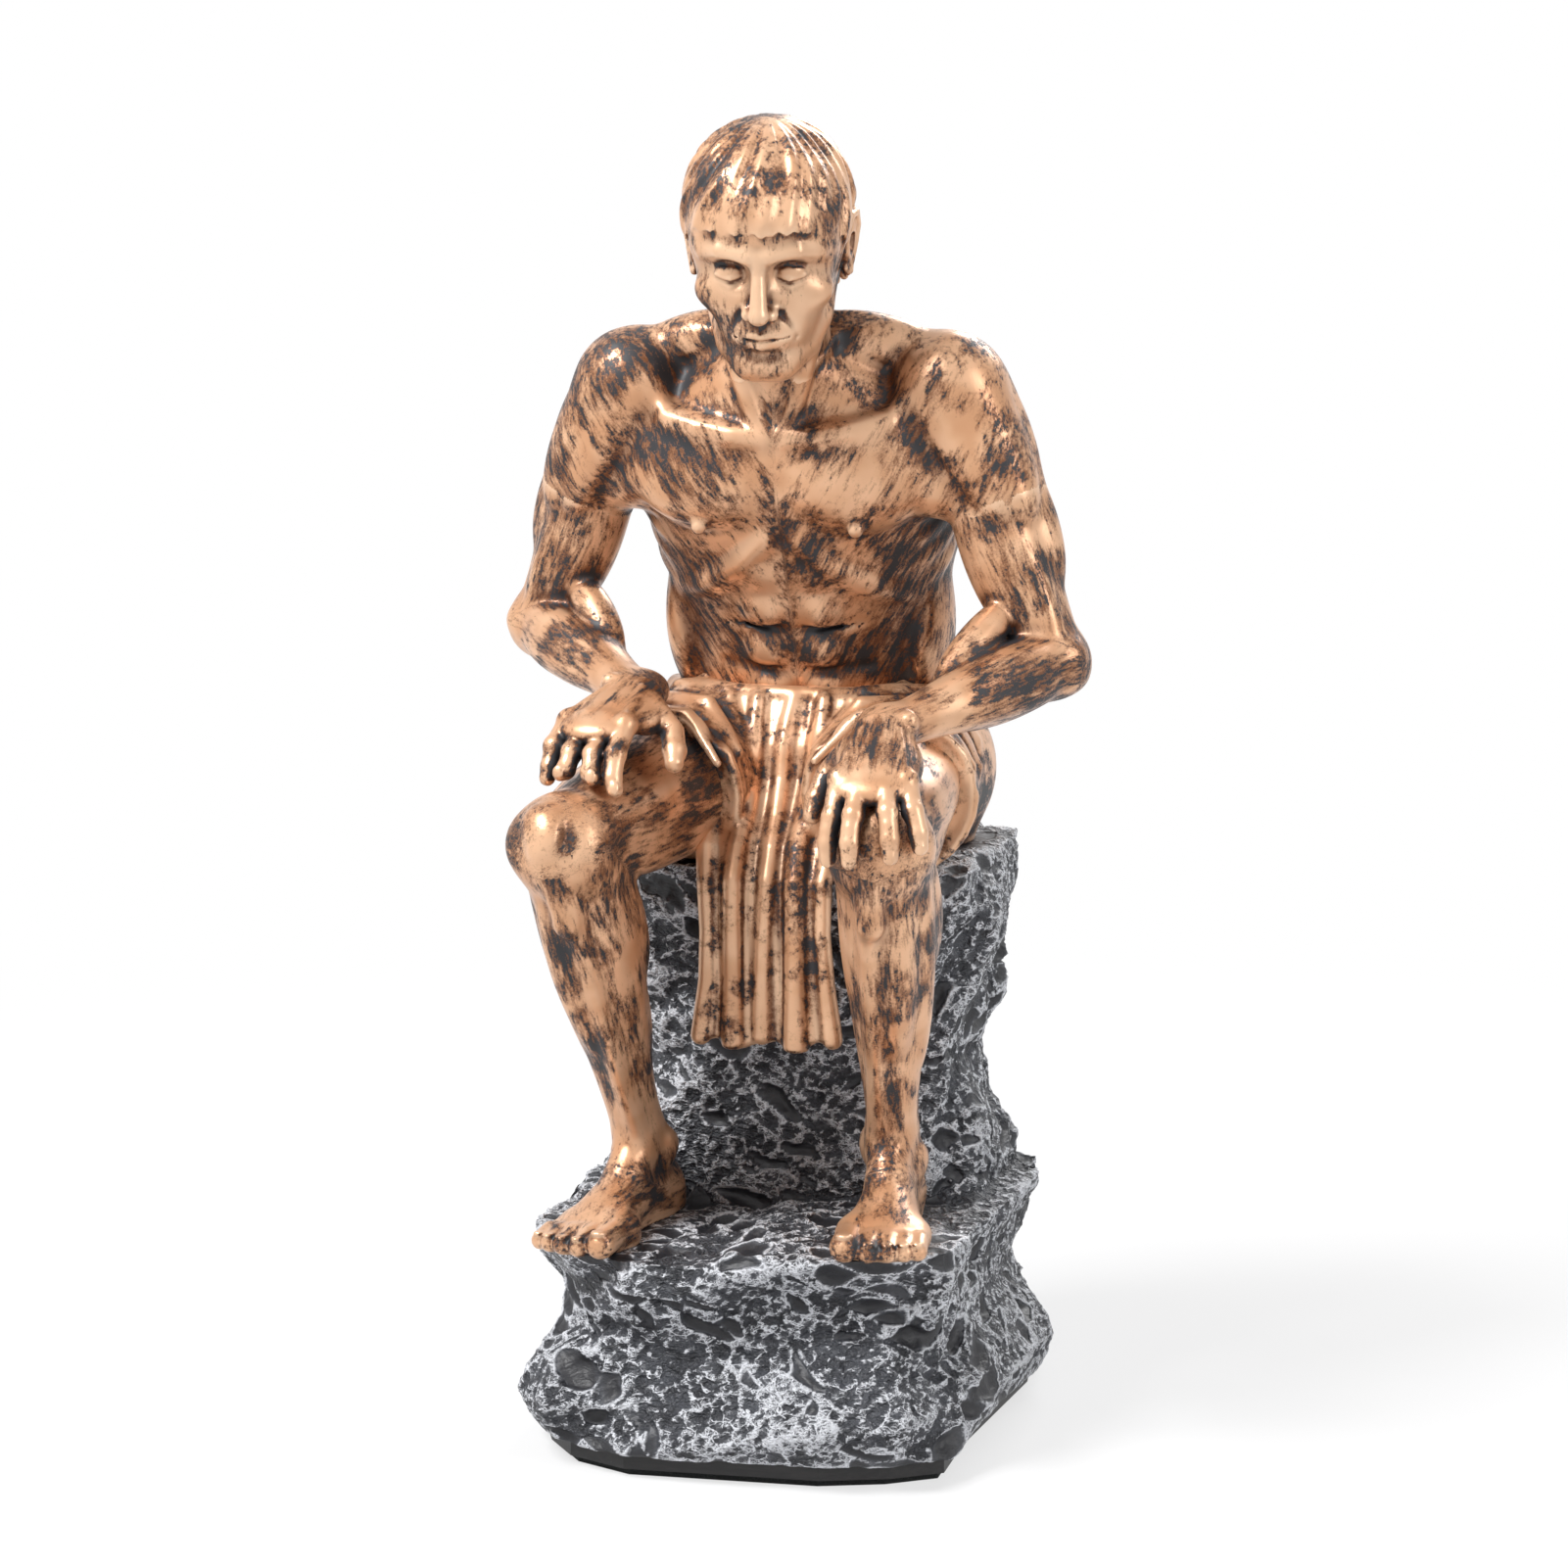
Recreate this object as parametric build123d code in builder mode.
"""A seated figure on a rough rock, a shelf ornament cast in sections that are pinned and glued.

The rock is a hollow casting, closed below by a screwed board and a felt sheet. The figure is cast
as a head, a torso, a hip wrap, two arms and two legs, which meet on flat glue faces with steel pins
across them. +Z is up, the figure looks along -Y, its left hand is on the +X side, and the origin is
the middle of the felt's underside. Lengths are in millimetres and angles in degrees.
"""

from build123d import *

import os
from math import ceil, cos, radians, sin, sqrt

# Rock: each level has its height, its width and depth, and where its back stands
base_width = 88.0
base_depth = 108.0
seat_height = 112.0
seat_width = 78.0
seat_depth = 64.0
seat_back = 49.0
brow_drop = 9.0
brow_width = 82.0
brow_depth = 68.0
brow_back = 51.0
shelf_height = 90.0
shelf_width = 70.0
shelf_depth = 58.0
shelf_back = 48.0
waist_height = 70.0
waist_width = 67.0
waist_depth = 50.0
waist_back = 44.0
root_height = 30.0
root_width = 80.0
root_depth = 58.0
root_back = 52.0
ledge_height = 42.0
ledge_width = 86.0
ledge_depth = 104.0
left_ledge_rise = 2.5
swell_height = 13.0
swell_width = 90.0
swell_depth = 110.0
scoop_height = 27.0
scoop_width = 83.0
scoop_depth = 101.0
rock_wall = 7.0
rock_roof = 14.0
corner_count = 16
square_share = 0.5
crag_share = 0.07
crag_pitch = 6.0
crag_step = 11.0

# Closing board, its screws and bosses, and the felt
felt_thickness = 1.5
felt_inset = 4.0
board_thickness = 3.0
board_inset = 2.5
screw_inset = 15.5
screw_diameter = 3.0
screw_head_diameter = 6.0
screw_head_height = 1.8
screw_length = 14.0
screw_play = 0.05
boss_diameter = 9.0
boss_height = 16.0

# Steel pins, the stout ones at the waist, seat and hips and the thin ones elsewhere
pin_diameter = 4.0
pin_length = 22.0
thin_pin_diameter = 2.5
thin_pin_length = 15.0
pin_play = 0.1
seat_pin_spacing = 26.0
waist_pin_spacing = 24.0

# Hip wrap and pelvis
hip_spacing = 32.0
hip_rise = 17.0
hip_back = 22.0
pelvis_width = 66.0
pelvis_depth = 48.0
waist_rise = 30.0
buttock_length = 33.0
buttock_width = 26.0
buttock_spacing = 33.0
buttock_back = 32.0
buttock_rise = 10.5
cloth_thickness = 1.6
hem_share = 0.46
lap_width = 34.0
lap_thickness = 20.0
tail_width = 26.0
tail_length = 34.0
tail_thickness = 3.0
tail_fold_diameter = 5.0
tail_fold_count = 4

# Legs and feet
thigh_length = 77.0
thigh_width = 31.0
thigh_depth = 30.0
shank_length = 75.0
shank_width = 20.5
shank_depth = 22.0
knee_diameter = 22.0
ankle_height = 13.0
ankle_spacing = 50.0
ankle_forward = 18.0
foot_length = 47.0
foot_breadth = 17.5
heel_length = 10.0
ankle_bone_diameter = 12.0
big_toe_diameter = 6.4
toe_diameter = 4.8
toe_length = 11.0
toe_slant_share = 0.6
toe_lift_share = 0.42
foot_turn = 8.0

# Torso and neck: the spine is a curve from the waistband to the root of the neck
lumbar_length = 35.0
lumbar_lean = 8.0
chest_length = 36.0
chest_lean = 36.0
torso_width = 62.0
torso_depth = 41.0
breast_length = 35.0
breast_width = 30.0
breast_place_share = 0.82
breast_spread_share = 0.23
breast_sink_share = 0.44
blade_length = 38.0
blade_width = 24.0
blade_place_share = 0.7
blade_spread_share = 0.33
blade_sink_share = 0.4
yoke_length = 38.0
yoke_width = 17.0
yoke_rise = 3.0
yoke_spread_share = 0.55
neck_length = 18.5
neck_lean = 38.0
neck_width = 21.0
neck_seam_share = 0.45

# Head
head_height = 43.5
head_width = 30.0
head_depth = 37.0
head_bow = 22.0
head_turn = 8.0
head_rise = 12.0
skull_rise = 5.2
skull_set_back = 1.5
skull_tilt_share = 0.12
nose_length = 12.0
nose_width = 6.5
nose_forward = 18.1
nose_drop = 3.0
nose_slant_share = 0.2
ear_length = 11.0
ear_width = 5.0
ear_slant_share = 0.2
hair_thickness = 1.4
hair_slant_share = 0.72

# Arms
shoulder_spacing = 64.0
shoulder_drop = 5.0
shoulder_diameter = 25.0
upper_arm_length = 54.0
upper_arm_width = 20.5
elbow_diameter = 14.5
forearm_length = 47.0
forearm_width = 17.5
arm_seam_share = 0.42
right_wrist_lift = 8.0
left_wrist_lift = 7.5

# Hands
palm_length = 18.0
palm_width = 16.5
palm_depth = 7.5
finger_length = 17.0
finger_diameter = 4.4
thumb_length = 15.0
thumb_diameter = 4.8

# Girths: place along the limb, width and depth as shares of the limb's own, and how far the
# slice stands back, as a share of the depth
thigh_shares = (
    (0.0, 1.0, 1.0, 0.0),
    (0.3, 0.98, 0.98, 0.0),
    (0.6, 0.86, 0.88, 0.0),
    (0.85, 0.72, 0.74, 0.0),
    (1.0, 0.68, 0.7, 0.0),
)
shank_shares = (
    (0.0, 0.94, 0.88, 0.0),
    (0.15, 0.98, 0.94, -0.08),
    (0.32, 1.0, 1.0, -0.12),
    (0.6, 0.76, 0.78, -0.08),
    (0.85, 0.56, 0.6, 0.0),
    (1.0, 0.58, 0.7, 0.0),
)
upper_arm_shares = (
    (0.0, 1.04, 1.04, 0.0),
    (0.42, 0.98, 1.02, 0.0),
    (0.62, 0.92, 1.0, 0.0),
    (0.85, 0.74, 0.8, 0.0),
    (1.0, 0.7, 0.7, 0.0),
)
forearm_shares = (
    (0.0, 0.78, 0.8, 0.0),
    (0.25, 1.0, 0.94, 0.0),
    (0.5, 0.9, 0.84, 0.0),
    (0.8, 0.66, 0.55, 0.0),
    (1.0, 0.64, 0.5, 0.0),
)
torso_shares = (
    (0.0, 0.86, 0.88, 0.0),
    (0.22, 0.87, 0.92, 0.0),
    (0.5, 0.98, 1.04, 0.0),
    (0.75, 1.12, 1.0, 0.0),
    (0.92, 1.0, 0.75, 0.04),
    (1.0, 0.72, 0.58, 0.05),
)
pelvis_shares = (
    (0.0, 0.94, 0.94, 0.0),
    (0.35, 1.0, 1.0, 0.0),
    (0.75, 0.92, 0.9, 0.0),
    (1.0, 0.86, 0.8, 0.0),
)
lap_shares = (
    (0.0, 1.0, 1.3, 0.0),
    (0.4, 1.0, 1.2, 0.0),
    (0.85, 0.9, 0.8, 0.0),
    (1.0, 0.8, 0.4, 0.0),
)
neck_shares = (
    (0.0, 1.1, 1.2, 0.0),
    (0.45, 1.0, 1.05, 0.0),
    (1.0, 1.05, 1.05, 0.0),
)
foot_shares = (
    (0.0, 0.46, 0.5, 0.0),
    (0.1, 0.66, 1.0, 0.0),
    (0.26, 0.68, 1.3, 0.0),
    (0.48, 0.8, 1.0, 0.0),
    (0.72, 1.0, 0.62, 0.0),
    (0.84, 0.94, 0.42, 0.0),
)
palm_shares = (
    (0.0, 0.66, 1.05, 0.0),
    (0.45, 0.94, 1.1, 0.0),
    (0.85, 1.0, 0.9, 0.0),
    (1.0, 0.96, 0.62, 0.0),
)
face_shares = (
    (0.6, 0.92, 0.76, 0.1),
    (0.42, 0.88, 0.72, 0.14),
    (0.22, 0.72, 0.6, 0.2),
    (0.07, 0.5, 0.44, 0.25),
    (0.0, 0.34, 0.26, 0.29),
)

# Places across a hand or foot and lengths, from the thumb or big toe outward
toe_place_shares = (-0.34, -0.1, 0.1, 0.27, 0.41)
toe_reach_shares = (1.0, 0.94, 0.82, 0.68, 0.5)
toe_diameters = (big_toe_diameter, *[toe_diameter] * 4)
finger_place_shares = (-0.37, -0.12, 0.13, 0.37)
finger_reach_shares = (0.92, 1.0, 0.96, 0.8)

# Ways that the joints bend and the hands lie: shares outward, back and up
knee_bend_shares = (0.18, -1.0, 0.5)
elbow_bend_shares = {"left": (0.62, 0.55, -0.5), "right": (0.66, 0.66, -0.36)}
palm_way_shares = {"left": (0.1, -0.88, -0.42), "right": (0.2, -0.93, -0.24)}
finger_way_shares = {"left": (0.1, -0.5, -0.85), "right": (0.12, -0.8, -0.6)}
fingertip_way_shares = {"left": (0.0, 0.1, -1.0), "right": (0.0, -0.25, -0.95)}
thumb_way_shares = {"left": (-0.62, -0.5, -0.6), "right": (-0.75, -0.45, -0.5)}
wrist_shares = {"left": 0.86, "right": 0.6}

overrun = 5.0

UP = Vector(0, 0, 1)
LEFT = Vector(1, 0, 0)
FORWARD = Vector(0, -1, 0)
SIDES = {"left": 1, "right": -1}
STANDING = (Align.CENTER, Align.CENTER, Align.MIN)

os.makedirs("parts", exist_ok=True)


def square_to(way, along):
    """The unit vector nearest to way that is square to along."""
    return (way - along * way.dot(along)).normalized()


def leaning(angle, turn=0):
    """The unit vector leaning forward from upright by angle, then turned to the left by turn."""
    flat = sin(radians(angle))
    return Vector(flat * sin(radians(turn)), -flat * cos(radians(turn)), cos(radians(angle)))


def sided(shares, side):
    """A direction given by its shares outward on that side of the body, back and up."""
    outward, back, up = shares
    return Vector(side * outward, back, up).normalized()


def middle_joint(start, end, first, second, bend):
    """Where the joint of two bones lies that span from start to end and bend towards bend."""
    way = (end - start).normalized()
    reach = (end - start).length
    along = (first**2 - second**2 + reach**2) / (2 * reach)
    aside = sqrt(max(first**2 - along**2, 0))
    return start + way * along + square_to(bend, way) * aside


def row_at(shares, place):
    """One row of a girth table, worked out between its neighbours."""
    for lower, upper in zip(shares, shares[1:]):
        if lower[0] <= place <= upper[0]:
            part = (place - lower[0]) / (upper[0] - lower[0])
            return tuple(a + (b - a) * part for a, b in zip(lower, upper))
    return shares[-1]


def between(shares, low, high):
    """The rows of a girth table from low to high, with both ends worked out."""
    inner = [row for row in shares if low < row[0] < high]
    return [row_at(shares, low), *inner, row_at(shares, high)]


def oval(centre, along, side, width, depth):
    """An oval slice, square to along, with its width along side."""
    with BuildSketch(Plane(origin=centre, x_dir=square_to(side, along), z_dir=along)) as outline:
        Ellipse(width / 2, depth / 2)
    return outline.sketch


def limb(start, end, side, width, depth, shares, growth=0):
    """Lofts a tapered limb from start to end, thicker all round by growth."""
    along = (end - start).normalized()
    back = along.cross(square_to(side, along))
    slices = []
    for place, wide, deep, set_back in shares:
        centre = start + (end - start) * place + back * depth * set_back
        slices.append(oval(centre, along, side, width * wide + 2 * growth, depth * deep + 2 * growth))
    loft(slices)


def lump(centre, along, side, length, width):
    """An egg-like swelling, round about the line that runs through its centre the way of along."""
    with BuildSketch(Plane(origin=centre, x_dir=along, z_dir=square_to(side, along))) as half:
        Ellipse(length / 2, width / 2)
        Rectangle(length, width, align=(Align.CENTER, Align.MAX), mode=Mode.SUBTRACT)
    revolve(half.sketch, axis=Axis(centre, along))


def ball(centre, diameter):
    with Locations(centre):
        Sphere(diameter / 2)


def rod(start, end, diameter, mode=Mode.ADD):
    with Locations(Plane(origin=start, z_dir=(end - start).normalized())):
        Cylinder(diameter / 2, (end - start).length, align=STANDING, mode=mode)


def digit(points, diameter):
    """A finger or toe: rods from point to point with a ball at each but the first."""
    for start, end in zip(points, points[1:]):
        rod(start, end, diameter)
        ball(end, diameter)


def pin_body(pin):
    centre, along, diameter, length = pin
    rod(centre - along * length / 2, centre + along * length / 2, diameter)


def pin_hole(pin):
    """Bores for one pin, a little wider and longer than it."""
    centre, along, diameter, length = pin
    half = along * (length / 2 + pin_play)
    rod(centre - half, centre + half, diameter + 2 * pin_play, mode=Mode.SUBTRACT)


# Skeleton
ledge_top = {"left": ledge_height + left_ledge_rise, "right": ledge_height}
hip = {}
knee = {}
ankle = {}
for name, side in SIDES.items():
    hip[name] = Vector(side * hip_spacing / 2, hip_back, seat_height + hip_rise)
    ankle[name] = Vector(side * ankle_spacing / 2, -ankle_forward, ledge_top[name] + ankle_height)
    bend = sided(knee_bend_shares, side)
    knee[name] = middle_joint(hip[name], ankle[name], thigh_length, shank_length, bend)

waist = Vector(0, hip_back, seat_height + waist_rise)
lumbar = waist + leaning(lumbar_lean) * lumbar_length
neck_root = lumbar + leaning(chest_lean) * chest_length
with BuildLine() as spine:
    Bezier(waist, lumbar, neck_root)
chest_way = spine.line % 1
neck_way = leaning(neck_lean)
skull_base = neck_root + neck_way * neck_length
neck_seam = neck_root + neck_way * neck_length * neck_seam_share

crown_way = leaning(head_bow, head_turn)
face_way = leaning(head_bow + 90, head_turn)
ear_way = face_way.cross(crown_way)
head_middle = skull_base + crown_way * head_rise

shoulder = {}
elbow = {}
wrist = {}
wrist_lift = {"left": left_wrist_lift, "right": right_wrist_lift}
for name, side in SIDES.items():
    shoulder[name] = neck_root - chest_way * shoulder_drop + LEFT * side * shoulder_spacing / 2
    place = wrist_shares[name]
    thigh_rise = thigh_depth / 2 * row_at(thigh_shares, place)[2]
    wrist[name] = hip[name] + (knee[name] - hip[name]) * place + UP * (thigh_rise + wrist_lift[name])
    bend = sided(elbow_bend_shares[name], side)
    elbow[name] = middle_joint(shoulder[name], wrist[name], upper_arm_length, forearm_length, bend)

# Swellings of the chest, the shoulder blades, the yoke of the shoulders and the seat
breast = {}
blade = {}
blade_way = {}
yoke = {}
yoke_way = {}
buttock = {}
for name, side in SIDES.items():
    buttock[name] = Vector(side * buttock_spacing / 2, buttock_back, seat_height + buttock_rise)
    chest_along = spine.line % breast_place_share
    chest_back = chest_along.cross(LEFT)
    front = torso_depth / 2 - breast_width * breast_sink_share
    behind = torso_depth / 2 - blade_width * blade_sink_share
    breast[name] = spine.line @ breast_place_share - chest_back * front
    breast[name] += LEFT * side * torso_width * breast_spread_share
    blade[name] = spine.line @ blade_place_share + chest_back * behind
    blade[name] += LEFT * side * torso_width * blade_spread_share
    blade_way[name] = (shoulder[name] - blade[name]).normalized()
    yoke[name] = neck_root + (shoulder[name] - neck_root) * yoke_spread_share + UP * yoke_rise
    yoke_way[name] = (shoulder[name] - neck_seam).normalized()

# Pins: centre, direction, diameter and length
waist_way = spine.line % 0
seat_pins = [
    (Vector(side * seat_pin_spacing / 2, hip_back, seat_height), UP, pin_diameter, pin_length)
    for side in SIDES.values()
]
waist_pins = [
    (waist + LEFT * side * waist_pin_spacing / 2, waist_way, pin_diameter, pin_length)
    for side in SIDES.values()
]
neck_pin = (neck_seam, neck_way, thin_pin_diameter, thin_pin_length)
hip_pin = {}
foot_pin = {}
shoulder_pin = {}
for name in SIDES:
    thigh_way = (knee[name] - hip[name]).normalized()
    hem = hip[name] + thigh_way * thigh_length * hem_share
    hip_pin[name] = (hem, thigh_way, pin_diameter, pin_length)
    sole = Vector(ankle[name].X, ankle[name].Y, ledge_top[name])
    foot_pin[name] = (sole, UP, thin_pin_diameter, thin_pin_length)
    arm_way = (elbow[name] - shoulder[name]).normalized()
    seam = shoulder[name] + arm_way * upper_arm_length * arm_seam_share
    shoulder_pin[name] = (seam, arm_way, thin_pin_diameter, thin_pin_length)

# Levels of the rock: height, width, depth and the back's place
board_top = felt_thickness + board_thickness
foot_levels = (
    (board_top, base_width, base_depth, base_depth / 2),
    (swell_height, swell_width, swell_depth, swell_depth / 2),
    (scoop_height, scoop_width, scoop_depth, scoop_depth / 2),
    (ledge_height + left_ledge_rise, ledge_width, ledge_depth, ledge_depth / 2),
)
block_levels = (
    (root_height, root_width, root_depth, root_back),
    (waist_height, waist_width, waist_depth, waist_back),
    (shelf_height, shelf_width, shelf_depth, shelf_back),
    (seat_height - brow_drop, brow_width, brow_depth, brow_back),
    (seat_height, seat_width, seat_depth, seat_back),
)


def crag_outline(level, inset=0, even=False):
    """A many-cornered outline at one level of the rock, uneven by crag_share, drawn in by inset.

    An even one is as narrow all round as the uneven one is anywhere.
    """
    height, width, depth, back = level
    points = []
    for corner in range(corner_count):
        angle = 360 * (corner + 0.5) / corner_count
        uneven = 1 + crag_share * sin(corner * corner + max(height, board_top) / crag_pitch)
        if even:
            uneven = 1 - crag_share
        across = cos(radians(angle))
        ahead = sin(radians(angle))
        x = (width / 2 - inset) * uneven * abs(across) ** square_share * (1 if across > 0 else -1)
        y = (depth / 2 - inset) * uneven * abs(ahead) ** square_share * (1 if ahead > 0 else -1)
        points.append((x, back - depth / 2 + y))
    with BuildSketch(Plane.XY.offset(height)) as outline:
        Polygon(*points, align=None)
    return outline.sketch


def broken_up(levels):
    """The same levels with more between them, so that none lie further apart than crag_step."""
    rows = [levels[0]]
    for low, high in zip(levels, levels[1:]):
        count = ceil((high[0] - low[0]) / crag_step)
        for number in range(1, count + 1):
            rows.append(tuple(a + (b - a) * number / count for a, b in zip(low, high)))
    return rows


def crag(levels, inset=0):
    """A faceted block through the outlines at the given levels, or an even one where it is drawn in."""
    if inset:
        loft([crag_outline(level, inset, even=True) for level in levels], ruled=True)
    else:
        loft([crag_outline(level) for level in broken_up(levels)], ruled=True)


screw_hole_radius = screw_diameter / 2 + screw_play


def screw_grid():
    """The four places of the screws, at the corners of the base."""
    return GridLocations(base_width - 2 * screw_inset, base_depth - 2 * screw_inset, 2, 2)


def lowered(levels, drop):
    """The same levels with the top one lowered, for the hollow under a roof."""
    height, *outline = levels[-1]
    return (*levels[:-1], (height - drop, *outline))


# Rock casting, hollow from below, with four screw bosses
with BuildPart() as hollow:
    crag(lowered(foot_levels, rock_roof), rock_wall)
    crag(lowered(block_levels[:-1], rock_roof - brow_drop), rock_wall)

with BuildPart() as rock_base:
    crag(foot_levels)
    with Locations((0, 0, ledge_height)):
        Box(
            base_width,
            base_depth,
            left_ledge_rise + overrun,
            align=(Align.MAX, Align.CENTER, Align.MIN),
            mode=Mode.SUBTRACT,
        )
    crag(block_levels)
    add(hollow.part, mode=Mode.SUBTRACT)
    with BuildSketch(Plane.XY.offset(board_top)):
        with screw_grid():
            Circle(boss_diameter / 2)
    extrude(amount=boss_height)
    with BuildSketch(Plane.XY.offset(board_top)):
        with screw_grid():
            Circle(screw_hole_radius)
    extrude(amount=screw_length - board_thickness + screw_play, mode=Mode.SUBTRACT)
    for pin in (*seat_pins, *foot_pin.values()):
        pin_hole(pin)
rock_base.part.label = "rock_base"
export_step(rock_base.part, "parts/rock_base.step")

# Closing board, countersunk for the screws
with BuildPart() as base_plate:
    add(crag_outline((felt_thickness, base_width, base_depth, base_depth / 2), board_inset))
    extrude(amount=board_thickness)
    with Locations((0, 0, felt_thickness)):
        with screw_grid():
            Cylinder(screw_hole_radius, board_thickness, align=STANDING, mode=Mode.SUBTRACT)
            Cone(
                screw_head_diameter / 2 + screw_play,
                screw_hole_radius,
                screw_head_height,
                align=STANDING,
                mode=Mode.SUBTRACT,
            )
base_plate.part.label = "base_plate"
export_step(base_plate.part, "parts/base_plate.step")

# Felt sheet
with BuildPart() as felt_sheet:
    add(crag_outline((0, base_width, base_depth, base_depth / 2), felt_inset))
    extrude(amount=felt_thickness)
felt_sheet.part.label = "felt_sheet"
export_step(felt_sheet.part, "parts/felt_sheet.step")

# Countersunk screws of the board
with BuildPart() as base_screws:
    with Locations((0, 0, felt_thickness)):
        with screw_grid():
            Cylinder(screw_diameter / 2, screw_length, align=STANDING)
            Cone(screw_head_diameter / 2, screw_diameter / 2, screw_head_height, align=STANDING)
base_screws.part.label = "base_screws"
export_step(base_screws.part, "parts/base_screws.step")

# Torso: rib cage, shoulders with the tops of the arms, and the root of the neck
with BuildPart() as torso:
    slices = []
    for place, wide, deep, set_back in torso_shares:
        along = spine.line % place
        back = along.cross(LEFT)
        centre = spine.line @ place + back * torso_depth * set_back
        slices.append(oval(centre, along, LEFT, torso_width * wide, torso_depth * deep))
    loft(slices)
    limb(neck_root, skull_base, LEFT, neck_width, neck_width, between(neck_shares, 0, neck_seam_share))
    for name, side in SIDES.items():
        ball(shoulder[name], shoulder_diameter)
        stub = between(upper_arm_shares, 0, arm_seam_share)
        limb(shoulder[name], elbow[name], FORWARD, upper_arm_width, upper_arm_width, stub)
        lump(breast[name], LEFT, UP, breast_length, breast_width)
        lump(blade[name], blade_way[name], LEFT, blade_length, blade_width)
        lump(yoke[name], yoke_way[name], UP, yoke_length, yoke_width)
    split(bisect_by=Plane(origin=neck_seam, z_dir=neck_way), keep=Keep.BOTTOM)
    for pin in (neck_pin, *waist_pins, *shoulder_pin.values()):
        pin_hole(pin)
torso.part.label = "torso"
export_step(torso.part, "parts/torso.step")

# Legs, from the hem of the wrap to the toes
legs = {}
for name, side in SIDES.items():
    toe_way = Vector(side * sin(radians(foot_turn)), -cos(radians(foot_turn)), 0)
    outward = Vector(side * cos(radians(foot_turn)), sin(radians(foot_turn)), 0)
    sole = Vector(ankle[name].X, ankle[name].Y, ledge_top[name])
    heel = sole - toe_way * heel_length
    foot_end = heel + toe_way * foot_length
    with BuildPart() as leg:
        limb(hip[name], knee[name], LEFT, thigh_width, thigh_depth, between(thigh_shares, hem_share, 1))
        ball(knee[name], knee_diameter)
        limb(knee[name], ankle[name], LEFT, shank_width, shank_depth, shank_shares)
        ball(ankle[name], ankle_bone_diameter)
        limb(heel, foot_end, LEFT, foot_breadth, 2 * ankle_height, foot_shares)
        for across, reach, diameter in zip(toe_place_shares, toe_reach_shares, toe_diameters):
            tip = foot_end - toe_way * (toe_length * (1 - reach) * toe_slant_share + diameter / 2)
            tip += outward * foot_breadth * across + UP * diameter * toe_lift_share
            digit((tip - toe_way * toe_length * reach, tip), diameter)
        split(bisect_by=Plane.XY.offset(ledge_top[name]), keep=Keep.TOP)
        add(rock_base.part, mode=Mode.SUBTRACT)
        pin_hole(hip_pin[name])
        pin_hole(foot_pin[name])
    legs[name] = leg.part
    leg.part.label = f"{name}_leg"
    export_step(leg.part, f"parts/{name}_leg.step")

# Hip wrap: the pelvis under cloth, a sleeve on each thigh, cloth across the lap and its end
# hanging over the front of the rock
seat_middle = Vector(0, hip_back, seat_height)
tail_top = Vector(0, brow_back - brow_depth - tail_fold_diameter / 2, seat_height)
tail_front = tail_top + FORWARD * tail_fold_diameter / 2
lap_start = seat_middle + UP * lap_thickness / 2
with BuildPart() as hip_wrap:
    limb(seat_middle, waist, LEFT, pelvis_width, pelvis_depth, pelvis_shares)
    for name in SIDES:
        sleeve = between(thigh_shares, 0, hem_share)
        limb(hip[name], knee[name], LEFT, thigh_width, thigh_depth, sleeve, cloth_thickness)
        lump(buttock[name], LEFT, UP, buttock_length, buttock_width)
    limb(lap_start, tail_front, LEFT, lap_width, lap_thickness, lap_shares)
    fold_pitch = (tail_width - tail_fold_diameter) / (tail_fold_count - 1)
    with Locations(tail_top):
        Box(
            tail_width - tail_fold_diameter,
            tail_thickness,
            tail_length,
            align=(Align.CENTER, Align.CENTER, Align.MAX),
        )
    for fold in range(tail_fold_count):
        fold_top = tail_top + LEFT * (fold - (tail_fold_count - 1) / 2) * fold_pitch
        rod(fold_top, fold_top - UP * tail_length, tail_fold_diameter)
        ball(fold_top, tail_fold_diameter)
    add(rock_base.part, mode=Mode.SUBTRACT)
    for neighbour in (torso.part, *legs.values()):
        add(neighbour, mode=Mode.SUBTRACT)
    for pin in (*seat_pins, *waist_pins, *hip_pin.values()):
        pin_hole(pin)
hip_wrap.part.label = "hip_wrap"
export_step(hip_wrap.part, "parts/hip_wrap.step")


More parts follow.
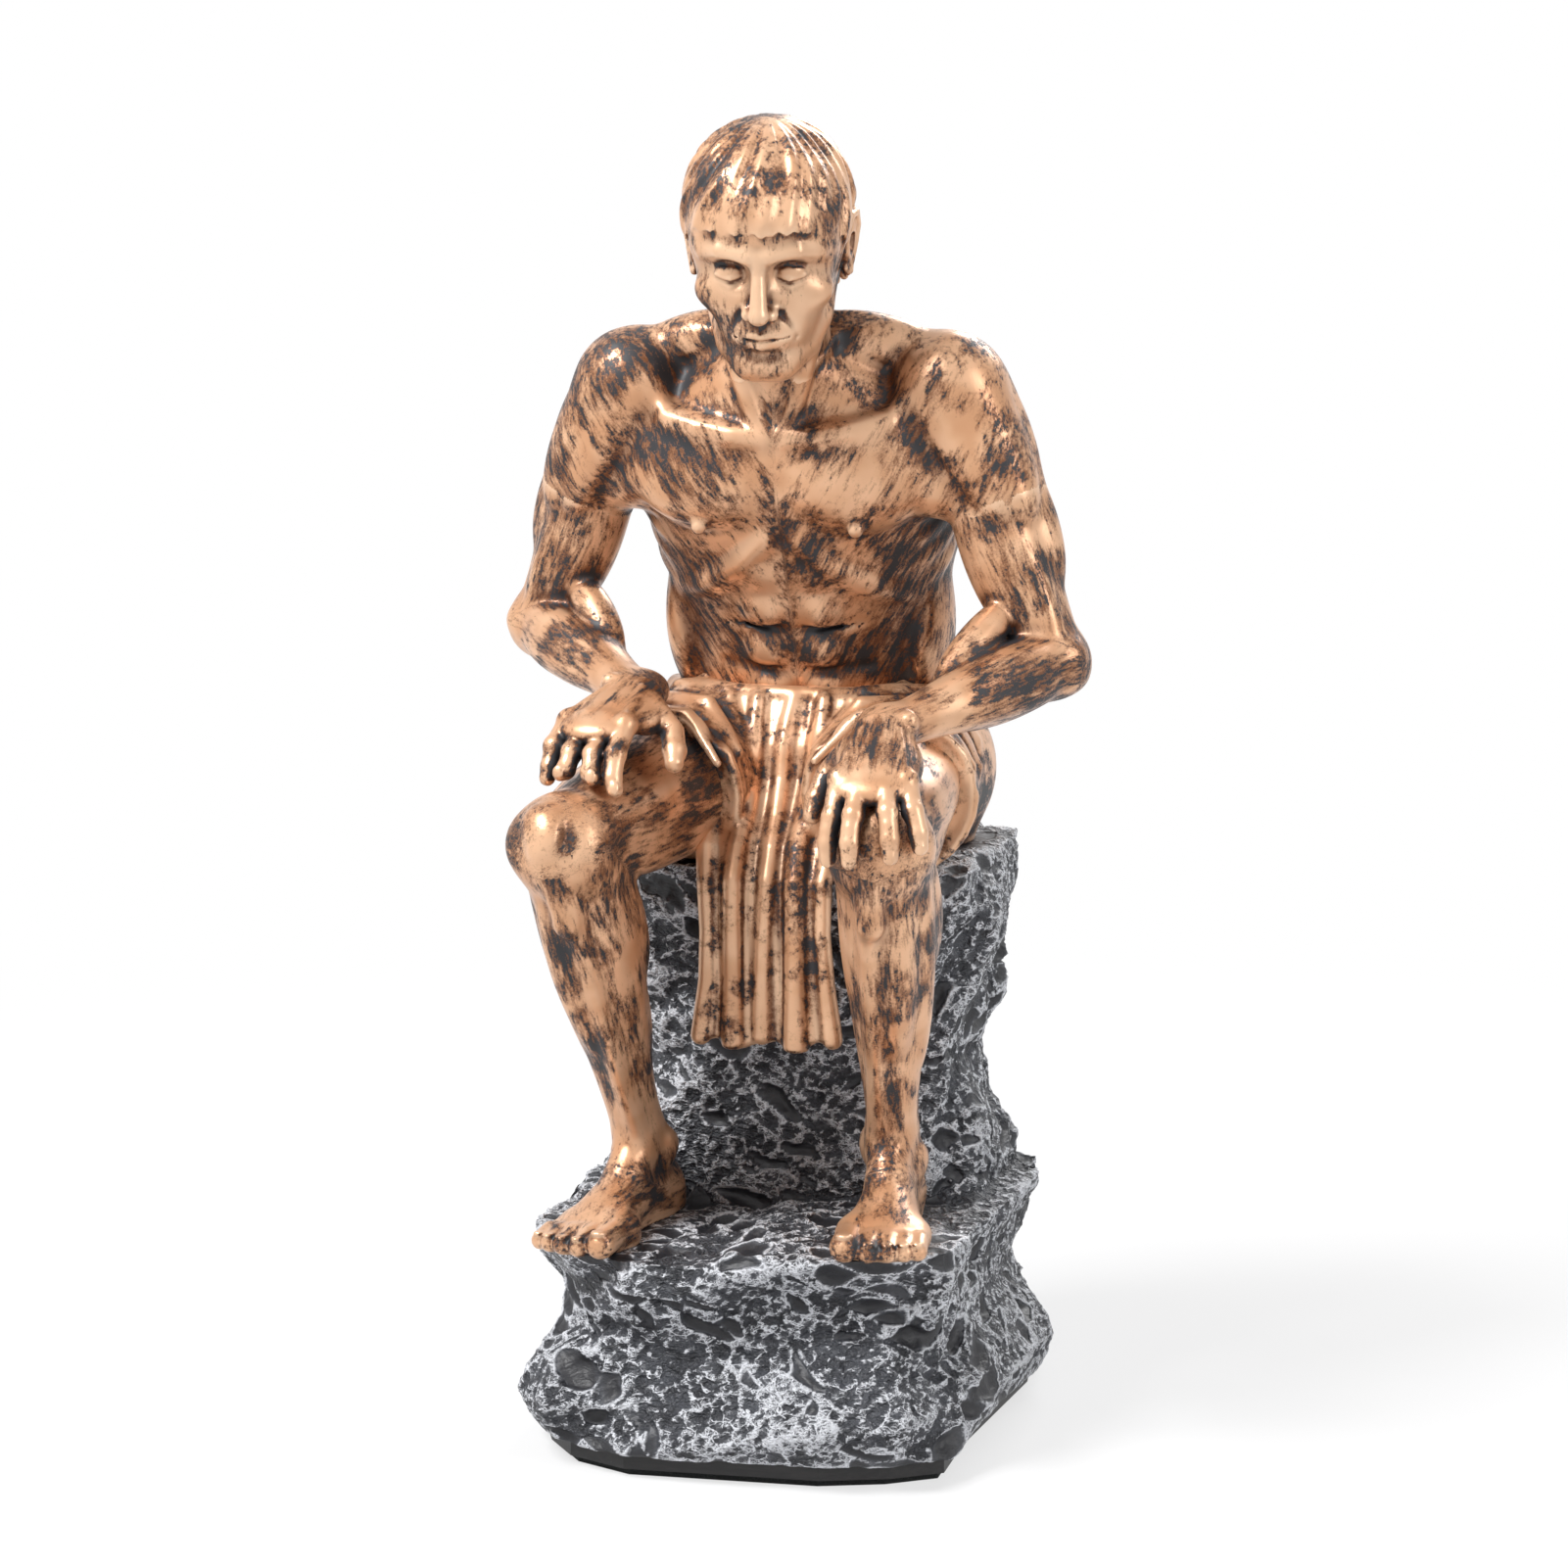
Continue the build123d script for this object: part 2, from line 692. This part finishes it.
# Arms, from the shoulder seam to the fingers, with each hand laid on its knee
for name, side in SIDES.items():
    palm_way = sided(palm_way_shares[name], side)
    outward = square_to(LEFT * side, palm_way)
    knuckles = wrist[name] + palm_way * palm_length
    finger_way = sided(finger_way_shares[name], side)
    fingertip_way = sided(fingertip_way_shares[name], side)
    thumb_way = sided(thumb_way_shares[name], side)
    with BuildPart() as arm:
        limb(
            shoulder[name],
            elbow[name],
            FORWARD,
            upper_arm_width,
            upper_arm_width,
            between(upper_arm_shares, arm_seam_share, 1),
        )
        ball(elbow[name], elbow_diameter)
        limb(elbow[name], wrist[name], outward, forearm_width, forearm_width, forearm_shares)
        limb(wrist[name], knuckles, outward, palm_width, palm_depth, palm_shares)
        for across, reach in zip(finger_place_shares, finger_reach_shares):
            knuckle = knuckles - palm_way * finger_diameter / 2 + outward * palm_width * across
            middle = knuckle + finger_way * finger_length * reach / 2
            digit((knuckle, middle, middle + fingertip_way * finger_length * reach / 2), finger_diameter)
        thumb_root = wrist[name] + palm_way * palm_length / 3 - outward * palm_width / 4
        thumb_bend = thumb_root + thumb_way * thumb_length / 2
        digit((thumb_root, thumb_bend, thumb_bend + finger_way * thumb_length / 2), thumb_diameter)
        add(legs[name], mode=Mode.SUBTRACT)
        add(hip_wrap.part, mode=Mode.SUBTRACT)
        add(torso.part, mode=Mode.SUBTRACT)
        pin_hole(shoulder_pin[name])
    arm.part.label = f"{name}_arm"
    export_step(arm.part, f"parts/{name}_arm.step")

# Head with the upper neck; the hair is a close cap over the skull
skull_middle = head_middle + crown_way * skull_rise - face_way * skull_set_back
skull_way = (face_way + crown_way * skull_tilt_share).normalized()
hair_way = (crown_way - face_way * hair_slant_share).normalized()
chin_level = head_middle - crown_way * head_height / 2
nose_middle = head_middle + face_way * nose_forward - crown_way * nose_drop
nose_way = (crown_way - face_way * nose_slant_share).normalized()
ear_along = (crown_way - face_way * ear_slant_share).normalized()
with BuildPart() as hair:
    lump(skull_middle, skull_way, ear_way, head_depth + 2 * hair_thickness, head_width + 2 * hair_thickness)
    split(bisect_by=Plane(origin=skull_middle, z_dir=hair_way), keep=Keep.TOP)

with BuildPart() as head:
    limb(neck_root, skull_base, LEFT, neck_width, neck_width, between(neck_shares, neck_seam_share, 1))
    lump(skull_middle, skull_way, ear_way, head_depth, head_width)
    slices = []
    for rise, wide, deep, forward in face_shares:
        centre = chin_level + crown_way * head_height * rise + face_way * head_depth * forward
        slices.append(oval(centre, crown_way, ear_way, head_width * wide, head_depth * deep))
    loft(slices)
    lump(nose_middle, nose_way, ear_way, nose_length, nose_width)
    for side in SIDES.values():
        lump(head_middle + ear_way * side * head_width / 2, ear_along, ear_way, ear_length, ear_width)
    add(hair.part)
    pin_hole(neck_pin)
head.part.label = "head"
export_step(head.part, "parts/head.step")

# Steel pins across the glued seams
with BuildPart() as seat_pin_pair:
    for pin in seat_pins:
        pin_body(pin)
seat_pin_pair.part.label = "seat_pins"
export_step(seat_pin_pair.part, "parts/seat_pins.step")

with BuildPart() as waist_pin_pair:
    for pin in waist_pins:
        pin_body(pin)
waist_pin_pair.part.label = "waist_pins"
export_step(waist_pin_pair.part, "parts/waist_pins.step")

single_pins = {"neck_pin": neck_pin}
for name in SIDES:
    single_pins[f"{name}_hip_pin"] = hip_pin[name]
    single_pins[f"{name}_foot_pin"] = foot_pin[name]
    single_pins[f"{name}_shoulder_pin"] = shoulder_pin[name]
for name, pin in single_pins.items():
    with BuildPart() as steel_pin:
        pin_body(pin)
    steel_pin.part.label = name
    export_step(steel_pin.part, f"parts/{name}.step")
